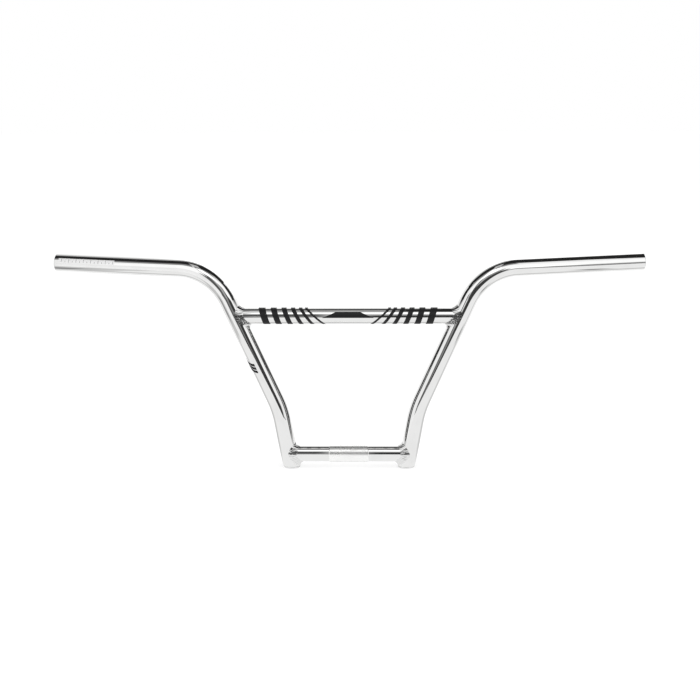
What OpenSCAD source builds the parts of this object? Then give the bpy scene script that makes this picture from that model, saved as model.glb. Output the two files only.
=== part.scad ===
/* [Bar] */
// Width over the two bar ends
bar_w = 762; // [700:1:800]
// Outer diameter of the side tubes, which grips and levers fit
tube_d = 22.2; // [22:0.1:22.4]
// Wall of the side tubes
tube_wall = 1.4; // [1:0.1:2.4]
// Backward sweep of the grips, in degrees
back_sweep = 11; // [6:0.5:14]
// Upward sweep of the grips, in degrees
up_sweep = 1; // [0:0.5:4]
// Chamfer on the bar ends, outside and inside
end_chamfer = 0.4; // [0.2:0.1:0.6]

/* [Legs] */
// Distance between the legs' centrelines at the height of the clamp
foot_spacing = 154.6; // [146:0.2:165]
// Lean of the legs from the vertical below the lower bend, in degrees
foot_lean = 11; // [8:0.5:14]
// Lean of the legs from the vertical above the lower bend, in degrees
leg_lean = 24.4; // [20:0.2:28]
// Height of the lower bend's corner above the clamp
low_bend_h = 59; // [50:1:75]
// Centreline radius of the lower bend
low_bend_r = 130; // [80:5:160]
// Height of the top bend's corner above the clamp
top_bend_h = 241; // [236:1:260]
// Centreline radius of the top bend
top_bend_r = 71; // [55:1:76]
// How far the legs reach below the clamp's centreline, caps included
leg_drop = 17.8; // [17:0.1:24]
// Gas vent holes inside the tube joints
vent_d = 5; // [3:0.5:6]

/* [Leg caps] */
// Thickness of the plate that closes each leg
cap_t = 2; // [1.5:0.1:3]
// Rounding of the cap's lower edge
cap_round = 1.2; // [0.6:0.1:1.4]

/* [Crossbar] */
// Outer diameter of the crossbar
crossbar_d = 21; // [19:0.1:21.8]
// Wall of the crossbar
crossbar_wall = 1.2; // [0.9:0.1:2]
// Height of the crossbar above the clamp
crossbar_h = 181; // [150:1:185]

/* [Clamp tube] */
// Outer diameter of the clamp tube beside its knurled band
clamp_tube_d = 21; // [19:0.1:21.8]
// Wall of the clamp tube
clamp_tube_wall = 1.6; // [1.2:0.1:2.5]
// Outer diameter of the knurled band, which the stem holds
clamp_d = 22.2; // [22:0.1:22.4]
// Width of the knurled band
clamp_w = 51; // [44:1:60]
// Chamfer on the band's two shoulders
clamp_chamfer = 0.4; // [0.2:0.1:0.5]

/* [Welds] */
// How far a weld bead reaches onto each tube
weld_reach = 5.2; // [3.5:0.1:5.5]
// Rise of the bead over the line between its two toes, where the tubes meet flattest
weld_rise = 0.4; // [0.2:0.1:1.2]
// How far a bead is hollowed where the tubes meet squarely, and more so in the sharp corners
weld_hollow = 1; // [0:0.1:1.2]
// Distance from one ripple to the next
ripple_pitch = 2.2; // [1.8:0.1:3]
// Depth of the valleys between the ripples
ripple_depth = 0.25; // [0.15:0.05:0.4]
// Clearance under the beads
weld_gap = 0.02; // [0.01:0.01:0.05]

/* [Decals] */
// Thickness of the vinyl
vinyl_t = 0.12; // [0.1:0.02:0.2]
// Length of the crossbar that the vinyl covers
decal_w = 222; // [200:2:236]
// Length of the group of slanted bands at each end
group_w = 78; // [60:1:82]
// Number of bands in each group
decal_bands = 6; // [3:1:7]
// Width of the widest band, at the outer end
band_wide = 8.5; // [5:0.5:9]
// Width of the narrowest band, nearest the centre
band_thin = 2.5; // [1.5:0.5:4]
// Slant of the outermost band, in degrees
band_slant = 17; // [10:1:30]
// Slant of the innermost band, in degrees
inner_slant = 48; // [30:1:50]
// Opening of the bands at the back of the crossbar, in degrees
band_gap = 24; // [10:2:40]
// Length of the long wedge in the middle, from tip to tip
wedge_w = 66; // [40:1:70]
// Length of its upper edge
wedge_top = 30; // [10:1:36]
// Height of its upper edge above the crossbar's centreline
wedge_rise = 6.5; // [3:0.5:8]
// Depth of its lower edge below the crossbar's centreline
wedge_drop = 1; // [0:0.5:6]
// Height of the small mark on the left leg above the clamp
mark_h = 125; // [95:1:135]
// Length of the mark along the leg
mark_l = 12; // [10:0.5:20]
// Number of its bars
mark_bars = 3; // [2:1:4]
// Width of each bar
mark_bar = 2.6; // [1.6:0.2:3]
// Slant of the bars, in degrees
mark_slant = 44; // [20:1:48]

/* [Hidden] */
$fn = 64;

tube_r = tube_d / 2;
bore_r = tube_r - tube_wall;
crossbar_r = crossbar_d / 2;
clamp_tube_r = clamp_tube_d / 2;
clamp_r = clamp_d / 2;

// Overlap that lets a cut run clear of a face
over = 1;

// Directions of the right side tube's three straight runs, from the leg's end up to the bar end
foot_dir = [sin(foot_lean), 0, cos(foot_lean)];
leg_dir = [sin(leg_lean), 0, cos(leg_lean)];
grip_dir = [cos(up_sweep) * cos(back_sweep), cos(up_sweep) * sin(back_sweep), sin(up_sweep)];

// The sharp corners of its centreline, which the two bends round off
hip = [foot_spacing / 2, 0, 0];
low_corner = hip + foot_dir * low_bend_h / foot_dir.z;
top_corner = low_corner + leg_dir * (top_bend_h - low_bend_h) / leg_dir.z;
grip_end_x = bar_w / 2 - tube_r * sqrt(1 - grip_dir.x ^ 2);
grip_end = top_corner + grip_dir * (grip_end_x - top_corner.x) / grip_dir.x;
foot_end = hip - foot_dir * (leg_drop + tube_r) / foot_dir.z;

// Where each bend starts and ends
low_tangent = low_bend_r * tan(turn(foot_dir, leg_dir) / 2);
top_tangent = top_bend_r * tan(turn(leg_dir, grip_dir) / 2);
low_start = low_corner - foot_dir * low_tangent;
low_end = low_corner + leg_dir * low_tangent;
top_start = top_corner - leg_dir * top_tangent;
top_end = top_corner + grip_dir * top_tangent;

// Square to the foot and to the leg in their own plane, on the side that both bends turn to
foot_side = [cos(foot_lean), 0, -sin(foot_lean)];
leg_side = [cos(leg_lean), 0, -sin(leg_lean)];
// How far the top bend's plane is turned back about the leg
grip_roll = atan2(grip_dir.y, grip_dir * leg_side);

// A bend is a hair slimmer than the runs beside it and laps into them, so that each seam is a clean edge
seam_neck = 0.004;
seam_lap = 0.3;

// A joint is [radius of the rail, its height, a point on the leg's axis, the leg's lean]
crossbar_joint = [crossbar_r, crossbar_h, low_corner, leg_lean];
clamp_joint = [clamp_tube_r, 0, hip, foot_lean];

// Weld mesh: steps along a ripple, across the crown and across the seat on the leg
ripple_steps = 4;
crown_steps = 4;
seat_steps = 2;
// Samples that measure the way around a rail
around = 144;
// Share of the reach on the rail that follows a fatter leg, which smooths the toe's peaks
toe_smooth = 0.25;
// How far the ripples' middles run ahead of their ends, in ripples
ripple_lead = 0.35;
// The seat lies outside the leg, so that its flat strips clear the round tube
seat_turn = weld_reach / tube_r * 180 / PI / seat_steps;
seat_r = (tube_r + weld_gap) / cos(seat_turn / 2);

// Cap mesh: points around, and steps down its rounded edge
cap_sides = 48;
cap_steps = 4;

// Half the arc that the leg's mark covers, and how far it is turned from the outside to the front
mark_half_arc = 54;
mark_turn = 18;
// A hair of room under the vinyl
vinyl_gap = 0.002;

function unit(v) = v / norm(v);
function turn(a, b) = acos(a * b);

// Moves the children so that their Z runs along z and their X along x, from the point at
module place(at, x, z) {
    y = cross(z, x);
    multmatrix([[x.x, y.x, z.x, at.x], [x.y, y.y, z.y, at.y], [x.z, y.z, z.z, at.z], [0, 0, 0, 1]])
        children();
}

// A straight rod along Z, and what follows on its end
module run(length, r) {
    cylinder(h = length, r = r);
    translate([0, 0, length]) children();
}

// A bend of a rod that comes in along Z and turns towards X, rolled about Z, and what follows on its end.
// Its round section is rolled back, so that its seam lines up with those of the runs
module elbow(bend_r, angle, r, roll = 0) {
    lap = seam_lap / bend_r * 180 / PI;
    to_centre = [[-1, 0, 0, bend_r], [0, 0, 1, 0], [0, 1, 0, 0], [0, 0, 0, 1]];
    rotate([0, 0, roll]) multmatrix(to_centre) {
        rotate([0, 0, -lap]) rotate_extrude(angle = angle + 2 * lap)
            translate([bend_r, 0]) rotate(roll) circle(r = r - seam_neck);
        rotate([0, 0, angle]) multmatrix(to_centre) rotate([0, 0, -roll]) children();
    }
}

// The right side tube's whole run as a rod of radius r, which passes the bar end by past_end
module side_rod(r, past_end = 0) {
    place(foot_end, foot_side, foot_dir)
        run(norm(low_start - foot_end), r)
        elbow(low_bend_r, turn(foot_dir, leg_dir), r)
        run(norm(top_start - low_end), r)
        elbow(top_bend_r, turn(leg_dir, grip_dir), r, grip_roll)
        run(norm(grip_end - top_end) + past_end, r);
}

// Everything below the height z, around the leg's end
module below(z) {
    size = 4 * tube_d;
    translate([hip.x - size / 2, -size / 2, z - size]) cube(size);
}

// What the two chamfers of the bar end take away
module end_chamfers() {
    place(grip_end, unit(cross([0, 1, 0], grip_dir)), grip_dir) rotate_extrude() {
        polygon([[tube_r - end_chamfer, 0], [tube_r + over, -end_chamfer - over],
                 [tube_r + over, over], [tube_r - end_chamfer, over]]);
        polygon([[bore_r - over, -end_chamfer - over], [bore_r + end_chamfer, 0],
                 [bore_r + end_chamfer, over], [bore_r - over, over]]);
    }
}

// The leg's centreline at height z, on the straight run that the joint is on
function axis_x(joint, z) = joint[2].x + (z - joint[2].z) * tan(joint[3]);

// The gas vent through the leg's inner wall, in line with the rail that joins there
module vent(joint) {
    translate([axis_x(joint, joint[1]) - tube_d, 0, joint[1]])
        rotate([0, 90, 0]) cylinder(h = tube_d, d = vent_d);
}

module side_tube() {
    difference() {
        side_rod(tube_r);
        side_rod(bore_r, over);
        below(cap_t - leg_drop);
        end_chamfers();
        vent(crossbar_joint);
        vent(clamp_joint);
    }
}

// The cap follows the leg's slanted section, an ellipse at every height, with a rounded lower edge
function cap_ring(z, inset) = [for (i = [0 : cap_sides - 1]) let (a = 360 * i / cap_sides)
    [hip.x + z * tan(foot_lean) + (tube_r / cos(foot_lean) - inset) * cos(a),
     (tube_r - inset) * sin(a), z]];

module leg_cap() {
    rounded = [for (k = [0 : cap_steps]) let (a = 90 * k / cap_steps)
        cap_ring(cap_round * (1 - cos(a)) - leg_drop, cap_round * (1 - sin(a)))];
    rings = [each rounded, cap_ring(cap_t - leg_drop, 0)];
    n = cap_sides;
    last = len(rings) - 1;
    polyhedron([for (ring = rings) each ring],
               [[for (i = [0 : n - 1]) i],
                for (k = [0 : last - 1], i = [0 : n - 1]) let (j = (i + 1) % n)
                    [k * n + i, (k + 1) * n + i, (k + 1) * n + j, k * n + j],
                [for (i = [n - 1 : -1 : 0]) last * n + i]]);
}

// A straight tube along X between the legs, mitred to them, with the children added to its outside
module rail(joint, wall) {
    reach = axis_x(joint, joint[1]);
    translate([0, 0, joint[1]]) difference() {
        union() {
            rotate([0, 90, 0]) cylinder(h = 2 * reach, r = joint[0], center = true);
            children();
        }
        rotate([0, 90, 0]) cylinder(h = 2 * (reach + over), r = joint[0] - wall, center = true);
        translate([0, 0, -joint[1]]) {
            side_rod(tube_r);
            mirror([1, 0, 0]) side_rod(tube_r);
        }
    }
}

// The band that stands out of the clamp tube, with chamfered shoulders
module clamp_band() {
    half = clamp_w / 2;
    inside = clamp_tube_r - clamp_tube_wall / 2;
    rotate([0, 90, 0]) rotate_extrude()
        polygon([[inside, -half], [clamp_r - clamp_chamfer, -half], [clamp_r, clamp_chamfer - half],
                 [clamp_r, half - clamp_chamfer], [clamp_r - clamp_chamfer, half], [inside, half]]);
}

// Around a rail, the angle a runs from its front over its top
function rail_normal(a) = [0, -cos(a), sin(a)];

// Where the surface of a rail meets a leg of the given radius, at the angle a
function saddle(joint, a, leg_r) =
    let (n = (joint[0] + weld_gap) * rail_normal(a), z = joint[1] + n.z)
    [axis_x(joint, z) - sqrt(leg_r ^ 2 - n.y ^ 2) / cos(joint[3]), n.y, z];

// The leg's own frame: along it, towards the rail, and to the front
function leg_axes(joint) =
    [[sin(joint[3]), 0, cos(joint[3])], [-cos(joint[3]), 0, sin(joint[3])], [0, -1, 0]];

// The leg's skin unrolled: a point of space to [way around it, way along it], and back
function to_skin(joint, p) = let (v = leg_axes(joint) * (p - joint[2]))
    [seat_r * atan2(v[2], v[1]) * PI / 180, v[0]];
function skin_normal(joint, uv) = let (a = uv[0] / seat_r * 180 / PI)
    [0, cos(a), sin(a)] * leg_axes(joint);
function from_skin(joint, uv) =
    joint[2] + uv[1] * leg_axes(joint)[0] + seat_r * skin_normal(joint, uv);

// Sums of the first 0, 1, 2 and so on of the numbers in v
function running_sum(v) = [for (s = 0, i = 0; i <= len(v); s = s + (i < len(v) ? v[i] : 0), i = i + 1) s];

// Height of the ripples, from 0 in a valley to 1 on a crest
function ripple(phase) = abs(sin(180 * phase));

// One section of the bead: the root, the seat on the leg, the crown, and the toe on the rail
function bead_section(joint, a, phase) =
    let (nudge = 180 / around,
         root = saddle(joint, a, seat_r),
         ahead = to_skin(joint, saddle(joint, a + nudge, seat_r)),
         behind = to_skin(joint, saddle(joint, a - nudge, seat_r)),
         along = unit(ahead - behind),
         skin = to_skin(joint, root),
         seat = [for (i = [1 : seat_steps])
             from_skin(joint, skin + [along.y, -along.x] * weld_reach * i / seat_steps)],
         leg_toe = seat[seat_steps - 1],
         rail_toe = saddle(joint, a, seat_r + weld_reach * toe_smooth)
             - [weld_reach * (1 - toe_smooth), 0, 0],
         facing = rail_normal(a) * skin_normal(joint, skin),
         outward = unit(rail_normal(a) + skin_normal(joint, skin)),
         rise = weld_rise * facing - weld_hollow * (1 - facing),
         crown = [for (i = [1 : crown_steps - 1])
             let (t = i / crown_steps, hump = 4 * t * (1 - t),
                  valley = ripple_depth * (1 - ripple(phase + ripple_lead * hump)))
             leg_toe + (rail_toe - leg_toe) * t + outward * hump * (rise - valley)])
    [root, each seat, each crown, rail_toe];

module weld(joint) {
    spots = [for (i = [0 : around]) saddle(joint, 360 * i / around, seat_r)];
    way = running_sum([for (i = [1 : around]) norm(spots[i] - spots[i - 1])]);
    angle_at = [for (i = [0 : around]) [way[i], 360 * i / around]];
    ripples = round(way[around] / ripple_pitch);
    last = ripples * ripple_steps;
    sections = [for (k = [0 : last - 1])
        bead_section(joint, lookup(way[around] * k / last, angle_at), k / ripple_steps)];
    n = len(sections);
    m = len(sections[0]);
    polyhedron([for (s = sections) each s],
               [for (k = [0 : n - 1], i = [0 : m - 1]) let (k2 = (k + 1) % n, i2 = (i + 1) % m)
                   each [[k * m + i, k2 * m + i, k2 * m + i2], [k * m + i, k2 * m + i2, k * m + i2]]]);
}

// The vinyl's sheet around the crossbar, w long about x and open at the back
module crossbar_skin(x, w) {
    translate([x - w / 2, 0, crossbar_h]) rotate([0, 90, 0]) rotate([0, 0, 90 + band_gap / 2])
        rotate_extrude(angle = 360 - band_gap)
            translate([crossbar_r + vinyl_gap, 0]) square([vinyl_t, w]);
}

// One slanted band around the crossbar, w wide and centred at x
module band(x, w, slant) {
    intersection() {
        crossbar_skin(x, w / cos(slant) + 2 * crossbar_d * abs(tan(slant)));
        translate([x, 0, crossbar_h]) rotate([0, slant, 0])
            cube([w, 2 * crossbar_d, 4 * crossbar_d], center = true);
    }
}

// The wedge on the front of the crossbar
module wedge() {
    intersection() {
        crossbar_skin(0, wedge_w + crossbar_d);
        translate([0, 0, crossbar_h]) rotate([90, 0, 0]) linear_extrude(crossbar_d)
            polygon([[-wedge_w / 2, -wedge_drop], [wedge_w / 2, -wedge_drop],
                     [wedge_top / 2, wedge_rise], [-wedge_top / 2, wedge_rise]]);
    }
}

// Towards the centre the bands get slimmer and lean over further
module crossbar_decal() {
    share = [for (i = [0 : decal_bands - 1]) i / (decal_bands - 1)];
    widths = [for (t = share) band_wide + (band_thin - band_wide) * t];
    slants = [for (t = share) band_slant + (inner_slant - band_slant) * t ^ 2];
    spans = [for (i = [0 : decal_bands - 1]) widths[i] / cos(slants[i])];
    starts = running_sum(spans);
    space = (group_w - starts[decal_bands]) / decal_bands;
    for (i = [0 : decal_bands - 1], side = [-1, 1])
        band(side * (decal_w / 2 - starts[i] - i * space - spans[i] / 2), widths[i], side * slants[i]);
    wedge();
}

// Slanted bars on the outside of the right leg
module leg_mark() {
    side = leg_axes(crossbar_joint);
    place([axis_x(crossbar_joint, mark_h), 0, mark_h], -side[1], side[0]) intersection() {
        rotate([0, 0, mark_turn - mark_half_arc]) rotate_extrude(angle = 2 * mark_half_arc)
            translate([tube_r + vinyl_gap, -2 * mark_l]) square([vinyl_t, 4 * mark_l]);
        for (i = [0 : mark_bars - 1]) let (step = (mark_l - mark_bar) / (mark_bars - 1))
            translate([0, 0, (i - (mark_bars - 1) / 2) * step]) rotate([mark_slant, 0, 0])
                cube([4 * tube_d, 4 * tube_d, mark_bar], center = true);
    }
}

module left_side_tube() { color("silver") mirror([1, 0, 0]) side_tube(); }
module right_side_tube() { color("silver") side_tube(); }
module crossbar() { color("gainsboro") rail(crossbar_joint, crossbar_wall); }
module clamp_tube() { color("gainsboro") rail(clamp_joint, clamp_tube_wall) clamp_band(); }
module left_leg_cap() { color("darkgray") mirror([1, 0, 0]) leg_cap(); }
module right_leg_cap() { color("darkgray") leg_cap(); }
module left_crossbar_weld() { color("lightgray") mirror([1, 0, 0]) weld(crossbar_joint); }
module right_crossbar_weld() { color("lightgray") weld(crossbar_joint); }
module left_clamp_weld() { color("lightgray") mirror([1, 0, 0]) weld(clamp_joint); }
module right_clamp_weld() { color("lightgray") weld(clamp_joint); }
module leg_decal() { color("black") mirror([1, 0, 0]) leg_mark(); }

left_side_tube();
right_side_tube();
crossbar();
clamp_tube();
left_leg_cap();
right_leg_cap();
left_crossbar_weld();
right_crossbar_weld();
left_clamp_weld();
right_clamp_weld();
crossbar_decal();
leg_decal();
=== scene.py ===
import bmesh
import bpy
import math
import random
from mathutils import Matrix, Vector


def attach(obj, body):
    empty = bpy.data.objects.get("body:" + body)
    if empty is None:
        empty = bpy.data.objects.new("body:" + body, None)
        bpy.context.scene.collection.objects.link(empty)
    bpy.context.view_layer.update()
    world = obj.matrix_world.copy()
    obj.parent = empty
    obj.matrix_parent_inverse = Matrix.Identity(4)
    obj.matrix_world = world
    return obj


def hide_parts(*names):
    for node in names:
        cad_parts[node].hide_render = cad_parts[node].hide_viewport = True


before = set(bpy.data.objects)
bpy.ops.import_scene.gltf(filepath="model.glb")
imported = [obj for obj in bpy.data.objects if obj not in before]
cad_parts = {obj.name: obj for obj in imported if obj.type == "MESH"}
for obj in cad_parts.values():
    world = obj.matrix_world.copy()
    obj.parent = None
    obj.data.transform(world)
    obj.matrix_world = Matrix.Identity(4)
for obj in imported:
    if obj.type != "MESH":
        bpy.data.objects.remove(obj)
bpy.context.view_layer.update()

# Sizes, in metres, as in the part's source
MM = 0.001
TUBE_R, TUBE_WALL = 11.1 * MM, 1.4 * MM
BAR_W = 762 * MM
BACK_SWEEP, UP_SWEEP = math.radians(11), math.radians(1)
FOOT_LEAN, LEG_LEAN = math.radians(11), math.radians(24.4)
HIP_X = 77.3 * MM
LOW_BEND_H, LOW_BEND_R = 59 * MM, 130 * MM
TOP_BEND_H, TOP_BEND_R = 241 * MM, 71 * MM
LEG_DROP, CAP_T, CAP_ROUND = 17.8 * MM, 2 * MM, 1.2 * MM
CROSSBAR_R, CROSSBAR_WALL, CROSSBAR_H = 10.5 * MM, 1.2 * MM, 181 * MM
CLAMP_TUBE_R, CLAMP_TUBE_WALL = 10.5 * MM, 1.6 * MM
CLAMP_R, CLAMP_W, CLAMP_CHAMFER = 11.1 * MM, 51 * MM, 0.4 * MM
WELD_REACH, WELD_RISE, WELD_HOLLOW, WELD_GAP = 5.2 * MM, 0.4 * MM, 1 * MM, 0.02 * MM
RIPPLE_PITCH, RIPPLE_DEPTH, RIPPLE_LEAD, TOE_SMOOTH = 2.2 * MM, 0.2 * MM, 0.35, 0.25
VINYL_T, VINYL_GAP = 0.12 * MM, 0.01 * MM
DECAL_W, GROUP_W, DECAL_BANDS, BAND_WIDE, BAND_THIN = 222 * MM, 78 * MM, 6, 8.5 * MM, 2.5 * MM
BAND_SLANT, INNER_SLANT, BAND_GAP = math.radians(17), math.radians(48), math.radians(24)
WEDGE_W, WEDGE_TOP, WEDGE_RISE, WEDGE_DROP = 66 * MM, 30 * MM, 6.5 * MM, 1 * MM
MARK_H, MARK_L, MARK_BARS, MARK_BAR = 125 * MM, 12 * MM, 3, 2.6 * MM
MARK_SLANT, MARK_HALF_ARC, MARK_TURN = math.radians(44), math.radians(54), math.radians(18)

# What only this script shapes: the rounded lip of the bar end, and the seam between leg and cap
END_ROUND, SEAM = 0.42 * MM, 0.22 * MM

# Sides of a round tube, steps of its two bends, and steps of the rounded lip, cap and seam
TUBE_SIDES, LOW_BEND_STEPS, TOP_BEND_STEPS = 96, 16, 30
LIP_STEPS, CAP_STEPS, SEAM_STEPS = 4, 8, 2
# The steepest edge that is still shaded smooth, on tubes and on the finer knurl and beads
TUBE_EDGE, FINE_EDGE = math.radians(35), math.radians(50)
# How near two points count as one, a point as on a plane, and a point as on a tube's skin
TOUCH, LEVEL, NEAR = 0.01 * MM, 0.05 * MM, 0.1 * MM
# Lengths of the rods that a cap and a mitre are cut with, and what a trimmed band has to spare
CAP_ROD, MITRE_ROD, SPARE = 4 * TUBE_R, 8 * TUBE_R, 2 * MM

TO_RIGHT, TO_FRONT = Vector((1, 0, 0)), Vector((0, -1, 0))


# The bar's own lines
def slant(lean, side):
    return Vector((side * math.sin(lean), 0, math.cos(lean)))


def bar_line(side):
    """Corners and directions of a side tube's centreline, from the leg's end up to the bar end."""
    foot, leg = slant(FOOT_LEAN, side), slant(LEG_LEAN, side)
    grip = Vector((side * math.cos(UP_SWEEP) * math.cos(BACK_SWEEP),
                   math.cos(UP_SWEEP) * math.sin(BACK_SWEEP), math.sin(UP_SWEEP)))
    hip = Vector((side * HIP_X, 0, 0))
    low = hip + foot * LOW_BEND_H / foot.z
    top = low + leg * (TOP_BEND_H - LOW_BEND_H) / leg.z
    end_x = BAR_W / 2 - TUBE_R * math.sqrt(1 - grip.x ** 2)
    end = top + grip * (end_x - abs(top.x)) / abs(grip.x)
    return {"foot": foot, "leg": leg, "grip": grip, "hip": hip, "low": low, "top": top, "end": end}


def leg_point(lean, z, side=1):
    """The leg's centreline at height z, on the straight run that leans so."""
    from_x, from_z = HIP_X, 0
    if lean != FOOT_LEAN:
        from_x, from_z = HIP_X + LOW_BEND_H * math.tan(FOOT_LEAN), LOW_BEND_H
    return Vector((side * (from_x + (z - from_z) * math.tan(lean)), 0, z))


# Modelling by hand
def alone(obj):
    bpy.ops.object.select_all(action="DESELECT")
    obj.select_set(True)
    bpy.context.view_layer.objects.active = obj


def started(name):
    """The primitive just added, with its place moved into its mesh."""
    obj = bpy.context.object
    obj.name = obj.data.name = name
    alone(obj)
    bpy.ops.object.transform_apply(location=True, rotation=True, scale=True)
    return obj


def turned_to(direction):
    return direction.to_track_quat("Z", "Y").to_euler()


def edit(obj, pick=None, kind="EDGE"):
    """Opens a piece for editing, with all selected or what pick says of each edge or face."""
    alone(obj)
    bpy.ops.object.mode_set(mode="EDIT")
    bpy.ops.mesh.select_mode(type=kind)
    bpy.ops.mesh.select_all(action="DESELECT" if pick else "SELECT")
    if pick:
        mesh = bmesh.from_edit_mesh(obj.data)
        for item in (mesh.edges if kind == "EDGE" else mesh.faces):
            item.select_set(bool(pick(item)))
        mesh.select_flush_mode()
        bmesh.update_edit_mesh(obj.data)


def done():
    bpy.ops.object.mode_set(mode="OBJECT")


def finish_with(obj, kind, **settings):
    alone(obj)
    modifier = obj.modifiers.new(kind.title(), kind)
    for key, value in settings.items():
        setattr(modifier, key, value)
    bpy.ops.object.modifier_apply(modifier=modifier.name)


def smooth(obj, edge=TUBE_EDGE):
    """Smooth shading led by the large faces, so that no rounded edge bends what a tube mirrors."""
    alone(obj)
    bpy.ops.object.shade_smooth_by_angle(angle=edge)
    finish_with(obj, "WEIGHTED_NORMAL", keep_sharp=True)


def joined(name, *objs):
    alone(objs[0])
    for obj in objs[1:]:
        obj.select_set(True)
    bpy.ops.object.join()
    objs[0].name = objs[0].data.name = name
    return objs[0]


def rod(name, middle, along, radius, depth, ends="NGON", sides=TUBE_SIDES):
    bpy.ops.object.select_all(action="DESELECT")
    bpy.ops.mesh.primitive_cylinder_add(
        vertices=sides, radius=radius, depth=depth, end_fill_type=ends,
        location=middle, rotation=turned_to(along))
    return started(name)


def cut_off(obj, at, normal, fill=True):
    """Cuts away what lies beyond a plane, on the side that its normal points to."""
    edit(obj)
    bpy.ops.mesh.bisect(plane_co=at, plane_no=normal, use_fill=fill, clear_outer=True)
    done()


def round_edges(obj, pick, reach, steps):
    edit(obj, pick)
    bpy.ops.mesh.bevel(offset=reach, segments=steps, affect="EDGES")
    done()


def pull(along, length):
    bpy.ops.mesh.extrude_region_move(TRANSFORM_OT_translate={"value": along * length})


def sweep(at, before, after, radius, steps):
    """Spins the open end from one direction to the next, about the bend's own centre."""
    towards = (after - before * before.dot(after)).normalized()
    axis = before.cross(after).normalized()
    centre = at + towards * radius
    bpy.ops.mesh.spin(steps=steps, angle=-before.angle(after), center=centre, axis=axis)


# Side tubes and caps
def side_tube(name, side):
    line = bar_line(side)
    foot, leg, grip = line["foot"], line["leg"], line["grip"]
    low_reach = LOW_BEND_R * math.tan(foot.angle(leg) / 2)
    top_reach = TOP_BEND_R * math.tan(leg.angle(grip) / 2)
    toe = line["hip"] - foot * (LEG_DROP + TUBE_R) / foot.z
    bpy.ops.object.select_all(action="DESELECT")
    bpy.ops.mesh.primitive_circle_add(
        vertices=TUBE_SIDES, radius=TUBE_R, location=toe, rotation=turned_to(foot))
    tube = started(name)
    edit(tube)
    pull(foot, (line["low"] - toe).length - low_reach)
    sweep(line["low"] - foot * low_reach, foot, leg, LOW_BEND_R, LOW_BEND_STEPS)
    pull(leg, (line["top"] - line["low"]).length - low_reach - top_reach)
    sweep(line["top"] - leg * top_reach, leg, grip, TOP_BEND_R, TOP_BEND_STEPS)
    pull(grip, (line["end"] - line["top"]).length - top_reach)
    bpy.ops.mesh.select_all(action="SELECT")
    bpy.ops.mesh.remove_doubles(threshold=TOUCH)
    done()
    first = tube.data.polygons[0]
    from_axis = first.center - toe
    if first.normal.dot(from_axis - foot * from_axis.dot(foot)) < 0:
        edit(tube)
        bpy.ops.mesh.flip_normals()
        done()
    cut_off(tube, (0, 0, CAP_T - LEG_DROP), (0, 0, -1), fill=False)
    finish_with(tube, "SOLIDIFY", thickness=TUBE_WALL, offset=-1)

    def on_lip(edge):
        a, b = (v.co - line["end"] for v in edge.verts)
        in_plane = abs(a.dot(grip)) < LEVEL and abs(b.dot(grip)) < LEVEL
        return in_plane and abs(a.length - b.length) < TUBE_WALL / 2

    round_edges(tube, on_lip, END_ROUND, LIP_STEPS)
    break_seam(tube, line)
    smooth(tube)
    return tube


def break_seam(piece, line):
    """Breaks the edge where the cap meets the tube, so that the seam between them shows."""
    def on_seam(edge):
        spots = [v.co - line["hip"] for v in edge.verts]
        radii = [(p - line["foot"] * p.dot(line["foot"])).length for p in spots]
        level = all(abs(p.z - CAP_T + LEG_DROP) < TOUCH for p in spots)
        return level and all(abs(r - TUBE_R) < NEAR for r in radii)

    round_edges(piece, on_seam, SEAM, SEAM_STEPS)


def leg_cap(name, side):
    line = bar_line(side)
    middle = line["hip"] - line["foot"] * (LEG_DROP - CAP_T / 2)
    cap = rod(name, middle, line["foot"], TUBE_R, CAP_ROD)
    cut_off(cap, (0, 0, CAP_T - LEG_DROP), (0, 0, 1))
    cut_off(cap, (0, 0, -LEG_DROP), (0, 0, -1))
    round_edges(cap, lambda edge: all(v.co.z < TOUCH - LEG_DROP for v in edge.verts),
                CAP_ROUND, CAP_STEPS)
    break_seam(cap, line)
    smooth(cap)
    return cap


# Crossbar and clamp tube
def rail(name, z, radius, wall, lean):
    """A straight tube between the legs, with its ends mitred to them."""
    length = 2 * leg_point(lean, z).x
    tube = rod(name, (0, 0, z), TO_RIGHT, radius, length, ends="NOTHING")
    finish_with(tube, "SOLIDIFY", thickness=wall, offset=-1)
    for side in (-1, 1):
        leg = rod("leg_cut", leg_point(lean, z, side), slant(lean, side), TUBE_R, MITRE_ROD)
        finish_with(tube, "BOOLEAN", operation="DIFFERENCE", solver="EXACT", object=leg)
        bpy.data.objects.remove(leg)
    smooth(tube)
    return tube


# Diamonds along and around the band, and squares along each side of a diamond's tile
KNURL_ROWS, KNURL_AROUND, KNURL_TILE = 40, 56, 4
# Share of a diamond's height at which its tip is flat, the height, and how far the ends step in
KNURL_TOP, KNURL_DEPTH, KNURL_SHOULDER = 0.75, 0.17 * MM, 0.15 * MM


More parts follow.
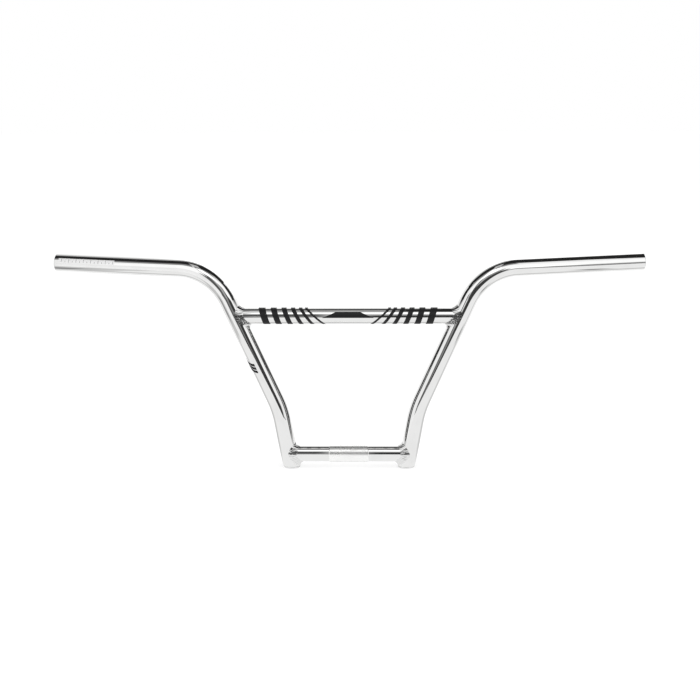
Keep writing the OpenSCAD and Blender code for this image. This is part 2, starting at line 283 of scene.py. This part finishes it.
def knurled_sleeve():
    """The band's skin: one diamond tile, laid side by side into a sheet that is rolled up."""
    long = (CLAMP_W - 4 * CLAMP_CHAMFER) / KNURL_ROWS
    wide = 2 * math.pi * CLAMP_R / KNURL_AROUND
    bpy.ops.object.select_all(action="DESELECT")
    bpy.ops.mesh.primitive_grid_add(x_subdivisions=KNURL_TILE, y_subdivisions=KNURL_TILE, size=1)
    sheet = started("knurl")
    for v in sheet.data.vertices:
        peak = abs(1 - 2 * abs(v.co.x) - 2 * abs(v.co.y))
        height = (min(peak, KNURL_TOP) - KNURL_TOP) * KNURL_DEPTH
        v.co = ((v.co.x + 0.5) * long, (v.co.y + 0.5) * wide, height)
    for count, step in ((KNURL_ROWS, (long, 0, 0)), (KNURL_AROUND, (0, wide, 0))):
        finish_with(sheet, "ARRAY", count=count, use_relative_offset=False,
                    use_constant_offset=True, constant_offset_displace=step,
                    use_merge_vertices=True, merge_threshold=TOUCH)
    for v in sheet.data.vertices:
        angle, r = v.co.y / CLAMP_R, CLAMP_R + v.co.z
        v.co = (v.co.x - long * KNURL_ROWS / 2, -r * math.cos(angle), r * math.sin(angle))
    edit(sheet)
    bpy.ops.mesh.remove_doubles(threshold=TOUCH)
    bpy.ops.mesh.normals_make_consistent(inside=False)
    done()

    # Each end is drawn out into its chamfered shoulder and down below the tube's skin, and the
    # two are bridged there
    edit(sheet, lambda edge: edge.is_boundary)
    rings = ((CLAMP_CHAMFER, CLAMP_R - KNURL_SHOULDER), (CLAMP_CHAMFER, CLAMP_R - CLAMP_CHAMFER),
             (0, CLAMP_TUBE_R - CLAMP_TUBE_WALL / 2))
    for out, radius in rings:
        pull(Vector(), 0)
        mesh = bmesh.from_edit_mesh(sheet.data)
        for v in mesh.verts:
            if v.select:
                flat = Vector((0, v.co.y, v.co.z)).normalized() * radius
                v.co = Vector((v.co.x + math.copysign(out, v.co.x), flat.y, flat.z))
        bmesh.update_edit_mesh(sheet.data)
    bpy.ops.mesh.bridge_edge_loops()
    bpy.ops.mesh.select_all(action="SELECT")
    bpy.ops.mesh.normals_make_consistent(inside=False)
    done()
    smooth(sheet, FINE_EDGE)
    return sheet


# Welds: points around a mitre, and steps along a ripple, over the crown and across the seat
AROUND, RIPPLE_STEPS, CROWN_STEPS, SEAT_STEPS = 144, 8, 10, 2
# The radius at which the seat's flats clear the leg's round
SEAT_R = (TUBE_R + WELD_GAP) / math.cos(WELD_REACH / TUBE_R / SEAT_STEPS / 2)
# By what share a ripple's start, width and height stray, and how far its toe draws in at its ends
START_STRAY, NARROWER, WIDER, HEIGHT_STRAY, SCALLOP = 0.1, 0.07, 0.05, 0.15, 0.05
CROSSBAR_SEED, CLAMP_SEED = 11, 21


class Mitre:
    """A rail's joint with the right leg, and the leg's skin laid out flat around it."""

    def __init__(self, rail_r, z, lean):
        self.rail_r, self.z, self.lean = rail_r, z, lean
        self.on_leg, self.along = leg_point(lean, z), slant(lean, 1)
        self.towards = Vector((-math.cos(lean), 0, math.sin(lean)))

    def rail_normal(self, a):
        return Vector((0, -math.cos(a), math.sin(a)))

    def saddle(self, a, leg_r):
        """The point at angle a of the rail's skin that is leg_r from the leg's centreline."""
        n = self.rail_normal(a) * (self.rail_r + WELD_GAP)
        up = self.z + n.z
        axis_x = self.on_leg.x + (up - self.z) * math.tan(self.lean)
        x = axis_x - math.sqrt(leg_r ** 2 - n.y ** 2) / math.cos(self.lean)
        return Vector((x, n.y, up))

    def to_skin(self, p):
        v = p - self.on_leg
        a = math.atan2(v.dot(TO_FRONT), v.dot(self.towards))
        return Vector((SEAT_R * a, v.dot(self.along)))

    def skin_normal(self, uv):
        a = uv.x / SEAT_R
        return self.towards * math.cos(a) + TO_FRONT * math.sin(a)

    def from_skin(self, uv):
        return self.on_leg + self.along * uv.y + self.skin_normal(uv) * SEAT_R


def bead_section(mitre, a, share, wide, high):
    """The bead's outline at an angle and share of a ripple, and its points' depth in a valley."""
    nudge = math.pi / AROUND
    root = mitre.saddle(a, SEAT_R)
    skin = mitre.to_skin(root)
    after, before = (mitre.to_skin(mitre.saddle(a + step, SEAT_R)) for step in (nudge, -nudge))
    run = (after - before).normalized()
    reach = WELD_REACH * (wide - SCALLOP * (1 - abs(math.sin(math.pi * share))))
    seat = [mitre.from_skin(skin + Vector((run.y, -run.x)) * reach * j / SEAT_STEPS)
            for j in range(1, SEAT_STEPS + 1)]
    rail_toe = mitre.saddle(a, SEAT_R + WELD_REACH * TOE_SMOOTH)
    rail_toe = rail_toe - Vector((reach * (1 - TOE_SMOOTH), 0, 0))
    facing = mitre.rail_normal(a).dot(mitre.skin_normal(skin))
    outward = (mitre.rail_normal(a) + mitre.skin_normal(skin)).normalized()
    rise = WELD_RISE * high * facing - WELD_HOLLOW * (1 - facing)
    crown, depth = [], []
    for j in range(1, CROWN_STEPS):
        t = j / CROWN_STEPS
        hump = 4 * t * (1 - t)
        phase = (share + RIPPLE_LEAD * hump) % 1
        valley = 1 - abs(math.sin(math.pi * phase))
        lift = rise - valley * RIPPLE_DEPTH
        crown.append(seat[-1].lerp(rail_toe, t) + outward * hump * lift)
        depth.append(valley)
    return [root, *seat, *crown, rail_toe], [0.0] * (SEAT_STEPS + 1) + depth + [0.0]


def weld_bead(name, side, rail_r, z, lean, seed):
    """A bead around one mitre, a row of overlapping ripples that no two welders lay alike."""
    draw = random.Random(seed)
    mitre = Mitre(rail_r, z, lean)
    spots = [mitre.saddle(2 * math.pi * i / AROUND, SEAT_R) for i in range(AROUND + 1)]
    way = [0.0]
    for a, b in zip(spots, spots[1:]):
        way.append(way[-1] + (b - a).length)
    ripples = round(way[-1] / RIPPLE_PITCH)
    # Where each ripple starts, how wide it is and how high it stands, none quite like the next
    starts = [0.0] + [i + draw.uniform(-START_STRAY, START_STRAY) for i in range(1, ripples)]
    starts.append(float(ripples))
    widths = [1 + draw.uniform(-NARROWER, WIDER) for _ in range(ripples)]
    heights = [1 + draw.uniform(-HEIGHT_STRAY, HEIGHT_STRAY) for _ in range(ripples)]

    def angle_at(s):
        i = next(k for k in range(AROUND) if way[k + 1] >= s)
        return 2 * math.pi * (i + (s - way[i]) / (way[i + 1] - way[i])) / AROUND

    sections, valleys = [], []
    for k in range(ripples * RIPPLE_STEPS):
        i, share = divmod(k, RIPPLE_STEPS)
        share /= RIPPLE_STEPS
        a = angle_at(way[-1] * (starts[i] + (starts[i + 1] - starts[i]) * share) / ripples)
        mixed = 0.5 - 0.5 * math.cos(math.pi * share)
        wide, high = (v[i] + (v[(i + 1) % ripples] - v[i]) * mixed for v in (widths, heights))
        section, depth = bead_section(mitre, a, share, wide, high)
        sections.append(section)
        valleys += depth

    n, m = len(sections), len(sections[0])
    points = [Vector((side * p.x, p.y, p.z)) for section in sections for p in section]
    faces = [[k * m + i, (k + 1) % n * m + i, (k + 1) % n * m + (i + 1) % m, k * m + (i + 1) % m]
             for k in range(n) for i in range(m)]
    mesh = bpy.data.meshes.new(name)
    mesh.from_pydata(points, [], faces)
    mesh.attributes.new("ripple", "FLOAT", "POINT").data.foreach_set("value", valleys)
    bead = bpy.data.objects.new(name, mesh)
    bpy.context.collection.objects.link(bead)
    edit(bead)
    bpy.ops.mesh.normals_make_consistent(inside=False)
    done()
    smooth(bead, FINE_EDGE)
    return bead


# Decals
def vinyl_band(name, middle, along, radius, long, cuts, keep):
    """A length of tube skin, trimmed by planes and by what keep says of a face, then thickened."""
    band = rod(name, middle, along, radius + VINYL_GAP, long, ends="NOTHING", sides=2 * TUBE_SIDES)
    for at, normal in cuts:
        cut_off(band, at, normal, fill=False)
    edit(band, lambda face: not keep(face.calc_center_median()), kind="FACE")
    bpy.ops.mesh.delete(type="FACE")
    done()
    finish_with(band, "SOLIDIFY", thickness=VINYL_T, offset=1)
    smooth(band)
    return band


def crossbar_decal():
    """Slanted bands around the crossbar, thinner and steeper inwards, and a wedge between them."""
    shares = [i / (DECAL_BANDS - 1) for i in range(DECAL_BANDS)]
    widths = [BAND_WIDE + (BAND_THIN - BAND_WIDE) * t for t in shares]
    slants = [BAND_SLANT + (INNER_SLANT - BAND_SLANT) * t ** 2 for t in shares]
    spans = [width / math.cos(lean) for width, lean in zip(widths, slants)]
    space = (GROUP_W - sum(spans)) / DECAL_BANDS

    def around_front(p):
        return abs(math.atan2(p.z - CROSSBAR_H, p.y)) > BAND_GAP / 2

    bands = []
    for side in (-1, 1):
        for i, (width, lean, span) in enumerate(zip(widths, slants, spans)):
            x = side * (DECAL_W / 2 - sum(spans[:i]) - i * space - span / 2)
            middle = Vector((x, 0, CROSSBAR_H))
            edge = Vector((math.cos(lean), 0, -side * math.sin(lean)))
            cuts = [(middle + edge * s * width / 2, edge * s) for s in (-1, 1)]
            long = span + 2 * CROSSBAR_R * math.tan(lean) + SPARE
            band = vinyl_band("band", middle, TO_RIGHT, CROSSBAR_R, long, cuts, around_front)
            bands.append(band)

    centre = Vector((0, 0, CROSSBAR_H))
    slope = Vector((WEDGE_RISE + WEDGE_DROP, 0, (WEDGE_W - WEDGE_TOP) / 2)).normalized()
    cuts = [(centre + Vector((0, 0, WEDGE_RISE)), (0, 0, 1)),
            (centre - Vector((0, 0, WEDGE_DROP)), (0, 0, -1))]
    for s in (-1, 1):
        corner = centre + Vector((s * WEDGE_W / 2, 0, -WEDGE_DROP))
        cuts.append((corner, (s * slope.x, 0, slope.z)))
    wedge = vinyl_band("wedge", centre, TO_RIGHT, CROSSBAR_R, WEDGE_W + SPARE, cuts,
                       lambda p: p.y < 0)
    return joined("crossbar_vinyl", wedge, *bands)


def leg_decal():
    """Slanted bars on the outside of the left leg."""
    along, outside = slant(LEG_LEAN, -1), Vector((-math.cos(LEG_LEAN), 0, -math.sin(LEG_LEAN)))
    middle = leg_point(LEG_LEAN, MARK_H, -1)
    faced = outside * math.cos(MARK_TURN) + TO_FRONT * math.sin(MARK_TURN)
    beside = along.cross(faced)
    up = along * math.cos(MARK_SLANT) + along.cross(outside) * math.sin(MARK_SLANT)
    step = (MARK_L - MARK_BAR) / (MARK_BARS - 1)

    def on_outside(p):
        v = p - middle
        return abs(math.atan2(v.dot(beside), v.dot(faced))) < MARK_HALF_ARC

    bars = []
    for i in range(MARK_BARS):
        centre = middle + along * (i - (MARK_BARS - 1) / 2) * step
        cuts = [(centre + up * e * MARK_BAR / 2, up * e) for e in (-1, 1)]
        bars.append(vinyl_band("bar", middle, along, TUBE_R, 4 * MARK_L, cuts, on_outside))
    return joined("leg_vinyl", *bars)


# Finishes
class Shade:
    """One value in a shader tree: sums and products of it add Math nodes."""

    def __init__(self, nodes, socket):
        self.nodes, self.socket = nodes, socket

    def __getitem__(self, name):
        return Shade(self.nodes, self.socket.node.outputs[name])

    def math(self, operation, *values):
        return self.nodes.add("ShaderNodeMath", {"operation": operation}, *values)

    def __add__(self, other):
        return self.math("ADD", self, other)

    def __sub__(self, other):
        return self.math("SUBTRACT", self, other)

    def __rsub__(self, other):
        return self.math("SUBTRACT", other, self)

    def __mul__(self, other):
        return self.math("MULTIPLY", self, other)

    def __truediv__(self, other):
        return self.math("DIVIDE", self, other)

    def __rtruediv__(self, other):
        return self.math("DIVIDE", other, self)

    def __gt__(self, other):
        return self.math("GREATER_THAN", self, other)

    def __lt__(self, other):
        return self.math("LESS_THAN", self, other)

    __radd__, __rmul__ = __add__, __mul__

    def absolute(self):
        return self.math("ABSOLUTE", self)

    def or_more(self, other):
        return self.math("MAXIMUM", self, other)

    def from_multiple(self, step):
        """How far a length is from the nearest multiple of a step."""
        past = self / step + 0.5
        return (past.math("FRACT", past) - 0.5).absolute() * step

    def above(self, low, soft):
        """0 below a value and 1 above it, with a soft edge."""
        return self.nodes.add("ShaderNodeMapRange", {"interpolation_type": "SMOOTHSTEP"},
                              self, low - soft, low + soft)

    def within(self, low, high, soft):
        """1 between two values and 0 outside them, with soft edges."""
        return self.above(low, soft) * (1 - self.above(high, soft))


class Nodes:
    """A shader tree, whose nodes are added by one method."""

    def put(self, socket, value):
        if isinstance(value, Shade):
            self.tree.links.new(value.socket, socket)
        elif socket.type == "RGBA":
            socket.default_value = (*value, 1)
        else:
            socket.default_value = value

    def add(self, kind, settings=None, *values, **named):
        node = self.tree.nodes.new(kind)
        for key, value in (settings or {}).items():
            setattr(node, key, value)
        for socket, value in zip([s for s in node.inputs if s.enabled], values):
            self.put(socket, value)
        for key, value in named.items():
            self.put(node.inputs[key], value)
        return Shade(self, next(s for s in node.outputs if s.enabled))

    def place(self):
        return self.add("ShaderNodeTexCoord")["Object"]


class Finish(Nodes):
    """A finish of the object's own."""

    def __init__(self, name, metallic):
        self.material = bpy.data.materials.new(name)
        self.material.use_nodes = True
        self.tree = self.material.node_tree
        self.surface = self.tree.nodes["Principled BSDF"]
        self.set("Metallic", metallic)

    def set(self, name, value):
        self.put(self.surface.inputs[name], value)

    def so_far(self, name):
        """What feeds a socket of the surface as yet."""
        return Shade(self, self.surface.inputs[name].links[0].from_socket)

    def noise(self, scale, detail, stretch=(1, 1, 1)):
        """Clouds from 0 to 1, of about so many to the metre."""
        spot = self.add("ShaderNodeMapping", {}, Scale=stretch, Vector=self.place())
        return self.add("ShaderNodeTexNoise", {}, Vector=spot, Scale=scale, Detail=detail)["Fac"]

    def colours(self, factor, first, second):
        return self.add("ShaderNodeMix", {"data_type": "RGBA"}, factor, first, second)

    def bump(self, height):
        bump = self.add("ShaderNodeBump", {}, Height=height, Distance=1.0, Strength=1.0)
        self.set("Normal", bump)


def grey(level):
    return level, level, level


# Colours, each with the deeper one that it shades into
CHROME, CHROME_DEEP = (0.84, 0.84, 0.835), (0.79, 0.79, 0.785)
# The knurl's chrome is set brighter than the tubes' chrome as painted light, standing in for the
# brighter look that the light gives its rough skin
KNURL_PAINTED_LIGHT_CHROME, KNURL_PAINTED_LIGHT_DEEP = (0.94, 0.94, 0.93), (0.88, 0.88, 0.87)
VINYL, VINYL_DEEP = (0.014, 0.014, 0.015), (0.008, 0.008, 0.009)
# The dark that the beads' painted shade and painted reflection mix towards
WELD_PAINTED_DARK = grey(0.1)

# Polish: how dull the tubes are, how much more in wiping haze, and how high the waves in them are
POLISH, HAZE, WAVES = 0.02, 0.03, 0.005 * MM
HAZE_FROM, HAZE_SOFT, HAZE_TINT, STREAK_DEPTH = 0.56, 0.1, 0.5, 0.02
KNURL_DULL, KNURL_HAZE = 0.27, 0.05

# Beads: grain, dullness, and how much darker and duller their valleys and their spots are, the
# darkening being painted shade in the valleys and a painted dark reflection in the spots
BEAD_GRAIN, BEAD_DULL = 0.015 * MM, 0.05
VALLEY_PAINTED_SHADE, VALLEY_DULL, SPOT_PAINTED_DARK, SPOT_DULL = 0.25, 0.05, 0.85, 0.2
# Heights of the duller spots, which also carry a painted dark reflection, on the crossbar's and on
# the clamp tube's beads, and where they begin before and behind the tubes' middle
DULL_AND_PAINTED_SPOTS = ((CROSSBAR_H - 9.5 * MM, CROSSBAR_H + 2.5 * MM), (0.5 * MM, 4 * MM))
SPOT_SOFT, SPOT_Y, SPOT_Y_SOFT = 0.4 * MM, 6 * MM, 1.2 * MM
# The noise level below which the spots' painted dark reflection shows, speckled, and how soft its
# edge is
BEAD_SPECKS_TO, BEAD_SPECKS_SOFT = 0.58, 0.04

VINYL_SHEEN, VINYL_DULL, VINYL_MOTTLE, VINYL_GRAIN = 0.2, 0.36, 0.14, 0.006 * MM

# The cutting scale's reach along the grip, half its width, its turn up from the front, soft edge
SCALE_FROM, SCALE_TO, SCALE_HALF, SCALE_UP = 6 * MM, 82 * MM, math.radians(15), math.radians(24)
SCALE_SOFT, SCALE_MATT, SCALE_DULL = 0.15 * MM, 0.8, 0.4
# Its ticks: step, half width, soft edge, lower end, upper end, and how much longer each second is
TICK_STEP, TICK_HALF, TICK_SOFT = 5 * MM, 0.3 * MM, 0.06 * MM
TICK_FOOT, TICK_HEAD, LONG_TICK_MORE, LONG_TICK_NEAR = -0.8 * SCALE_HALF, -0.02, 0.22, 1 * MM
# Its strip, the specks in it and the ticks' ink, and how strong specks and ink are
STRIP, SPECK, INK = grey(0.86), grey(0.55), grey(0.12)
SPECK_FROM, SPECK_SOFT, SPECK_SHARE, INK_SHARE = 0.55, 0.05, 0.25, 0.75


def chrome(name, polish=POLISH, haze=HAZE, waves=WAVES, grain=0, bright=CHROME, deep=CHROME_DEEP):
    """Plated and polished steel: a near mirror with faint waves, fine streaks and wiping haze."""
    finish = Finish(name, metallic=1.0)
    hazy = finish.noise(scale=38, detail=4).above(HAZE_FROM, HAZE_SOFT)
    streaks = finish.noise(scale=900, detail=2, stretch=(0.04, 1, 0.6))
    finish.set("Roughness", polish + hazy * haze + (streaks - 0.5) * STREAK_DEPTH)
    finish.set("Base Color", finish.colours(hazy * HAZE_TINT, bright, deep))
    height = finish.noise(scale=24, detail=2) * waves
    if grain:
        height = height + finish.noise(scale=2200, detail=3) * grain
    finish.bump(height)
    return finish


def rippled_chrome(name):
    """Plated weld bead, duller where the two tubes keep the polishing wheel off it, with painted
    shade in its ripple valleys and a speckled painted dark reflection in spots at its front and
    back.
    """
    finish = chrome(name, waves=0, grain=BEAD_GRAIN)
    ripple = finish.add("ShaderNodeAttribute", {"attribute_name": "ripple"})["Fac"]
    spot = finish.add("ShaderNodeSeparateXYZ", {}, finish.place())
    height = sum(spot["Z"].within(low, high, SPOT_SOFT) for low, high in DULL_AND_PAINTED_SPOTS)
    dull_painted_spot = height * spot["Y"].absolute().above(SPOT_Y, SPOT_Y_SOFT)
    painted_reflection_specks = 1 - finish.noise(scale=620, detail=3).above(BEAD_SPECKS_TO, BEAD_SPECKS_SOFT)
    # Painted shade in the ripple valleys, and a speckled painted dark reflection in the spots
    dark = ripple * VALLEY_PAINTED_SHADE + dull_painted_spot * painted_reflection_specks * SPOT_PAINTED_DARK
    dark = dark.math("MINIMUM", dark, 1.0)
    finish.set("Base Color", finish.colours(dark, finish.so_far("Base Color"), WELD_PAINTED_DARK))
    finish.set("Roughness", BEAD_DULL + dull_painted_spot * SPOT_DULL + ripple * VALLEY_DULL)
    return finish


def vinyl(name):
    """Satin black vinyl, faintly mottled."""
    finish = Finish(name, metallic=0.0)
    finish.set("Specular IOR Level", VINYL_SHEEN)
    mottle = finish.noise(scale=420, detail=4)
    finish.set("Base Color", finish.colours(mottle, VINYL_DEEP, VINYL))
    finish.set("Roughness", VINYL_DULL + mottle * VINYL_MOTTLE)
    finish.bump(finish.noise(scale=1400, detail=3) * VINYL_GRAIN)
    return finish


def trim_scale(finish, side):
    """A cutting scale on one grip: a pale strip with ticks, to say how much a rider cuts off."""
    line = bar_line(side)
    grip, end = line["grip"], line["end"]
    front = (TO_FRONT - grip * TO_FRONT.dot(grip)).normalized()
    up = grip.cross(front) * -side
    facing = front * math.cos(SCALE_UP) + up * math.sin(SCALE_UP)
    beside = up * math.cos(SCALE_UP) - front * math.sin(SCALE_UP)

    def vector(operation, first, second):
        return finish.add("ShaderNodeVectorMath", {"operation": operation}, first, tuple(second))

    spot = vector("SUBTRACT", finish.place(), end)

    def along(direction):
        return vector("DOT_PRODUCT", spot, direction)

    inwards = along(-grip)
    angle = inwards.math("ARCTAN2", along(beside), along(facing))
    lengthwise = inwards.within(SCALE_FROM, SCALE_TO, SCALE_SOFT)
    strip = lengthwise * angle.within(-SCALE_HALF, SCALE_HALF, SCALE_SOFT / TUBE_R)
    tick = 1 - inwards.from_multiple(TICK_STEP).above(TICK_HALF, TICK_SOFT)
    is_long = inwards.from_multiple(2 * TICK_STEP) < LONG_TICK_NEAR
    tick = tick * (angle < is_long * LONG_TICK_MORE + TICK_HEAD) * (angle > TICK_FOOT)
    return strip, tick * strip


def marked_chrome(name, side):
    """The tubes' chrome with the cutting scale printed on it."""
    finish = chrome(name)
    strip, tick = trim_scale(finish, side)
    specks = finish.noise(scale=1500, detail=3).above(SPECK_FROM, SPECK_SOFT)
    matt = finish.colours(specks * SPECK_SHARE, STRIP, SPECK)
    matt = finish.colours(tick * INK_SHARE, matt, INK)
    finish.set("Base Color", finish.colours(strip, finish.so_far("Base Color"), matt))
    finish.set("Metallic", 1 - strip * SCALE_MATT)
    finish.set("Roughness", finish.so_far("Roughness") + strip * SCALE_DULL)
    return finish


# The pieces
plated = chrome("polished_chrome")
plated_marked = marked_chrome("polished_chrome_marked", -1)
plated_knurl = chrome("knurled_chrome", polish=KNURL_DULL, haze=KNURL_HAZE, waves=0,
                      bright=KNURL_PAINTED_LIGHT_CHROME, deep=KNURL_PAINTED_LIGHT_DEEP)
plated_bead = rippled_chrome("weld_chrome")
black_vinyl = vinyl("satin_vinyl")


def coated(obj, finish):
    obj.data.materials.append(finish.material)
    return obj


def dress(piece, node):
    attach(piece, "root")
    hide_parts(node)


for side, word in ((-1, "left"), (1, "right")):
    tube = side_tube(word + "_tube", side)
    dress(coated(tube, plated_marked if side < 0 else plated), word + "_side_tube")
    dress(coated(leg_cap(word + "_cap", side), plated), word + "_leg_cap")
    bead = weld_bead(word + "_crossbar_bead", side, CROSSBAR_R, CROSSBAR_H, LEG_LEAN,
                     CROSSBAR_SEED + side)
    dress(coated(bead, plated_bead), word + "_crossbar_weld")
    bead = weld_bead(word + "_clamp_bead", side, CLAMP_TUBE_R, 0, FOOT_LEAN, CLAMP_SEED + side)
    dress(coated(bead, plated_bead), word + "_clamp_weld")

crossbar = rail("crossbar_tube", CROSSBAR_H, CROSSBAR_R, CROSSBAR_WALL, LEG_LEAN)
dress(coated(crossbar, plated), "crossbar")

lower_tube = coated(rail("lower_tube", 0, CLAMP_TUBE_R, CLAMP_TUBE_WALL, FOOT_LEAN), plated)
sleeve = coated(knurled_sleeve(), plated_knurl)
dress(joined("lower_tube", lower_tube, sleeve), "clamp_tube")

dress(coated(crossbar_decal(), black_vinyl), "crossbar_decal")
dress(coated(leg_decal(), black_vinyl), "leg_decal")

# The studio: brightness of the sky as a light and as seen, and of the floor mirrored and seen
SKY_LIGHT, SKY_SEEN, FLOOR_MIRRORED, FLOOR_SEEN = 0.8, 1.0, 0.55, 0.61
FLOOR_W, FLOOR_GAP, FLOOR_GREY = 12, 0.2 * MM, grey(0.5)
CARD_SOFT = 0.02


class Stage(Nodes):
    """The tree of a stage material or of the world, emptied."""

    def __init__(self, holder, output="ShaderNodeOutputMaterial"):
        holder.use_nodes = True
        self.tree = holder.node_tree
        self.tree.nodes.clear()
        self.out = self.tree.nodes.new(output)

    def show(self, shader):
        self.put(self.out.inputs["Surface"], shader)

    def glow(self, level, kind="ShaderNodeEmission"):
        return self.add(kind, {}, grey(1), level)

    def mixed(self, share, first, second):
        return self.add("ShaderNodeMixShader", {}, share, first, second)


def card(name, square_to, at, first, second, level, soft=CARD_SOFT):
    """A flag or light card square to one axis, with soft edges, which only the chrome shows."""
    other = [axis for axis in range(3) if axis != square_to]
    middle, size = [0.0] * 3, [1.0] * 3
    middle[square_to] = at
    for axis, (low, high) in zip(other, (first, second)):
        middle[axis], size[axis] = (low + high) / 2, high - low + 2 * soft
    bpy.ops.object.select_all(action="DESELECT")
    facing = Vector([float(axis == square_to) for axis in range(3)])
    bpy.ops.mesh.primitive_plane_add(size=1, location=(0, 0, 0), rotation=turned_to(facing))
    plane = started(name)
    plane.location, plane.scale = middle, size
    material = bpy.data.materials.new(name)
    paint = Stage(material)
    spot = paint.add("ShaderNodeSeparateXYZ", {}, paint.place())
    inside = 1
    for axis in other:
        edge = soft / size[axis]
        inside = spot["XYZ"[axis]].within(edge - 0.5, 0.5 - edge, edge) * inside
    clear = paint.add("ShaderNodeBsdfTransparent")
    paint.show(paint.mixed(inside, clear, paint.glow(level)))
    plane.data.materials.append(material)
    plane.visible_camera = plane.visible_diffuse = plane.visible_shadow = False


def floor():
    bpy.ops.object.select_all(action="DESELECT")
    bpy.ops.mesh.primitive_plane_add(size=FLOOR_W, location=(0, 0, -LEG_DROP - FLOOR_GAP))
    ground = bpy.context.object
    ground.name = "floor"
    material = bpy.data.materials.new("floor")
    paint = Stage(material)
    matt = paint.add("ShaderNodeBsdfDiffuse", {}, FLOOR_GREY)
    seen = paint.add("ShaderNodeLightPath")["Is Camera Ray"]
    lit = paint.mixed(seen, paint.glow(FLOOR_MIRRORED), paint.glow(FLOOR_SEEN))
    paint.show(paint.add("ShaderNodeAddShader", {}, matt, lit))
    ground.data.materials.append(material)


def sky():
    world = bpy.data.worlds.new("studio")
    bpy.context.scene.world = world
    paint = Stage(world, "ShaderNodeOutputWorld")
    path = paint.add("ShaderNodeLightPath")
    seen = path["Is Camera Ray"].or_more(path["Is Glossy Ray"])
    seen = seen.or_more(path["Is Transmission Ray"])
    light, shown = (paint.glow(level, "ShaderNodeBackground") for level in (SKY_LIGHT, SKY_SEEN))
    paint.show(paint.mixed(seen, light, shown))


def soft_lamp(name, place, size, power):
    lamp = bpy.data.lights.new(name, "AREA")
    lamp.shape, lamp.size, lamp.size_y, lamp.energy = "RECTANGLE", *size, power
    obj = bpy.data.objects.new(name, lamp)
    bpy.context.collection.objects.link(obj)
    obj.location = place
    obj.rotation_euler = (-Vector(place)).to_track_quat("-Z", "Y").to_euler()
    obj.visible_camera = obj.visible_glossy = False


sky()
floor()
soft_lamp("overhead_softbox", place=(0.2, -0.5, 1.9), size=(1.6, 1.2), power=9)

# Flags and light cards: square to, where, from and to along its two other axes, brightness
ACROSS, DEEP, UP = range(3)
CARDS = (
    (UP, -0.017, (0.75, 1.18), (-1.17, -0.76), 0.01),
    (UP, -0.01702, (0.39, 0.43), (-0.08, 0.0), 0.2),
    (UP, -0.01704, (-0.53, -0.47), (-0.1, 0.02), 0.25),
    (UP, 1.95, (-2.57, 1.78), (-0.64, 1.29), 0.02),
    (ACROSS, -1.343, (-0.61, 0.48), (0.63, 1.44), 0.012),
    (ACROSS, 0.738, (-0.22, 0.69), (-0.01, 0.43), 0.07),
    (DEEP, -0.861, (-0.23, 0.22), (0.73, 1.54), 1.547),
    (DEEP, -0.684, (0.01, 0.46), (-0.04, 0.36), 0.045),
    (DEEP, -1.076, (-0.08, 0.12), (0.21, 1.92), 0.519),
    (DEEP, -0.65, (-1.56, -0.29), (1.06, 1.98), 0.277),
    (UP, -0.0172, (-0.49, 0.47), (-2.6, -0.85), 0.01),
    (UP, -0.01722, (-0.41, 1.04), (-2.56, 0.02), 0.971),
    (ACROSS, -0.65, (-0.21, 0.36), (-0.04, 0.39), 0.025),
    (ACROSS, 1.081, (-0.75, 0.22), (0.59, 2.98), 0.027),
    (DEEP, -1.632, (-1.39, 1.98), (0.44, 2.04), 1.172),
    (DEEP, 0.857, (-1.28, 0.15), (1, 2.62), 0.506),
    (ACROSS, 1.594, (-0.25, 0.55), (0.89, 1.57), 0.261),
    (DEEP, -1.611, (-0.24, 0.63), (0, 0.98), 0.304),
    (DEEP, -0.714, (-0.37, -0.19), (-0.04, 0.43), 0.106),
    (DEEP, -1.188, (-0.29, 0.1), (0.23, 3.0), 0.098),
    (DEEP, -0.733, (0.07, 0.7), (1.28, 2.41), 0.265),
    (UP, 1.916, (-0.29, 0.06), (-0.56, 0.03), 0.525),
    (DEEP, 1.934, (-0.53, 2.95), (0.95, 1.89), 1.6),
    (DEEP, -1.888, (0.91, 1.28), (0.34, 1.5), 1.6),
    (DEEP, -1.207, (-0.41, 1.1), (0, 0.18), 0.24),
    (DEEP, 1.903, (-0.54, 0.97), (0.04, 0.55), 1.373),
    (DEEP, -1.957, (1.22, 1.51), (0.14, 0.33), 0.472),
    (UP, -0.01754, (-1.7, 2.26), (-0.23, 0.12), 0.648),
    (UP, -0.01756, (-0.45, -0.33), (0.43, 2.22), 0.521),
)
for number, settings in enumerate(CARDS):
    card(f"card_{number}", *settings)

# The camera, as fitted to the tubes' outline: its turns, its distance from the point that it looks
# at, that point's height and shift to the right, and its focal length in the photo's pixels
TILT, YAW, ROLL = math.radians(11), math.radians(1.713), math.radians(-0.363)
CAMERA_AWAY, CAMERA_Z, CAMERA_X = 2.3, 0.1364, 0.00217
FOCAL_PX, PHOTO_PX, SENSOR, SEES_TO = 1794.3, 700, 36, 50

right = Vector((math.cos(YAW), math.sin(YAW), 0))
ahead = Vector((-math.sin(YAW), math.cos(YAW), 0))
forward = ahead * math.cos(TILT) - Vector((0, 0, math.sin(TILT)))
upward = ahead * math.sin(TILT) + Vector((0, 0, math.cos(TILT)))
rolled_right = right * math.cos(ROLL) + upward * math.sin(ROLL)
rolled_up = upward * math.cos(ROLL) - right * math.sin(ROLL)
eye = Vector((0, 0, CAMERA_Z)) + right * CAMERA_X - forward * CAMERA_AWAY

data = bpy.data.cameras.new("camera")
data.sensor_fit, data.sensor_width = "HORIZONTAL", SENSOR
data.lens = FOCAL_PX / PHOTO_PX * SENSOR
data.clip_end = SEES_TO
camera = bpy.data.objects.new("camera", data)
bpy.context.collection.objects.link(camera)
turn = Matrix((rolled_right, rolled_up, -forward)).transposed()
camera.matrix_world = Matrix.Translation(eye) @ turn.to_4x4()
bpy.context.scene.camera = camera
bpy.context.scene.view_settings.view_transform = "Standard"
